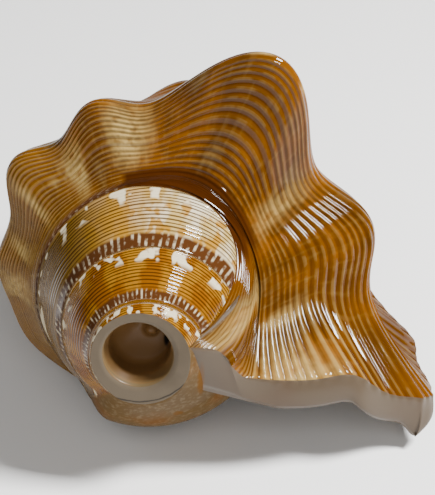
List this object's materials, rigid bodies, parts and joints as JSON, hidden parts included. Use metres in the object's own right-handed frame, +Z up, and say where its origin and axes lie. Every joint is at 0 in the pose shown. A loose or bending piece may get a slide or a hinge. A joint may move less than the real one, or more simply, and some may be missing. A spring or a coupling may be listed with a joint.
{
  "type": "conch shell",
  "caption": "Polished conch shell with its tip sawn off as a mouth ring, knobbed shoulder, flared wavy lip and a hollow opening that it lies on.",
  "frame": {"origin": "centre of the base of the bounding box, on the surface that the shell lies on", "axes": "+Z up through the back of the shell, -Y the way the sawn mouth ring faces, +X toward the flared lip"},
  "size_m": [0.1136, 0.1422, 0.0925],
  "materials": {
    "shell": "gloss"
  },
  "bodies": {
    "root": {"shell": "shell"}
  },
  "joints": []
}
